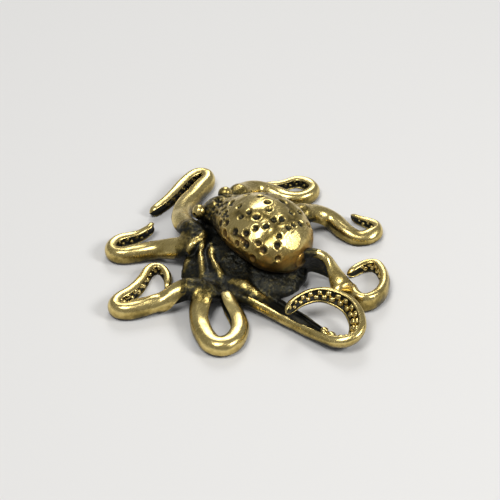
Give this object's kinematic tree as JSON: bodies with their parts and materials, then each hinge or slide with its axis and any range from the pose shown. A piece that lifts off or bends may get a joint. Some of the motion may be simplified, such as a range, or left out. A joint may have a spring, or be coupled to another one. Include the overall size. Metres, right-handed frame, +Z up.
{
  "type": "octopus figurine",
  "caption": "Small solid brass octopus ornament with an egg-shaped dimpled mantle, bead eyes, a low web and arms that curl back on themselves; it rests flat on the undersides of its arms.",
  "frame": {"origin": "middle of the bounding box in plan, on the table that the arms rest on", "axes": "+Z up from the table, +Y the way the head and eyes face, -Y the way the mantle's tip points, +X the animal's right"},
  "size_m": [0.064, 0.0674, 0.0161],
  "materials": {
    "polished_brass": "cast brass with its high spots rubbed bright and a dark patina in the hollows",
    "dark_brass": "cast brass with a nearly black oxidised patina, rubbed bright on the ridges"
  },
  "bodies": {
    "root": {"mantle": "polished_brass", "head": "dark_brass", "eye_left": "polished_brass", "eye_right": "polished_brass", "web": "dark_brass", "arm_1": "polished_brass", "arm_2": "polished_brass", "arm_3": "polished_brass", "arm_4": "polished_brass", "arm_5": "polished_brass", "arm_6": "polished_brass", "arm_7": "polished_brass", "arm_8": "polished_brass", "suckers_1": "polished_brass", "suckers_2": "polished_brass", "suckers_3": "polished_brass", "suckers_4": "polished_brass", "suckers_5": "polished_brass", "suckers_6": "polished_brass", "suckers_7": "polished_brass", "suckers_8": "polished_brass"}
  },
  "joints": []
}
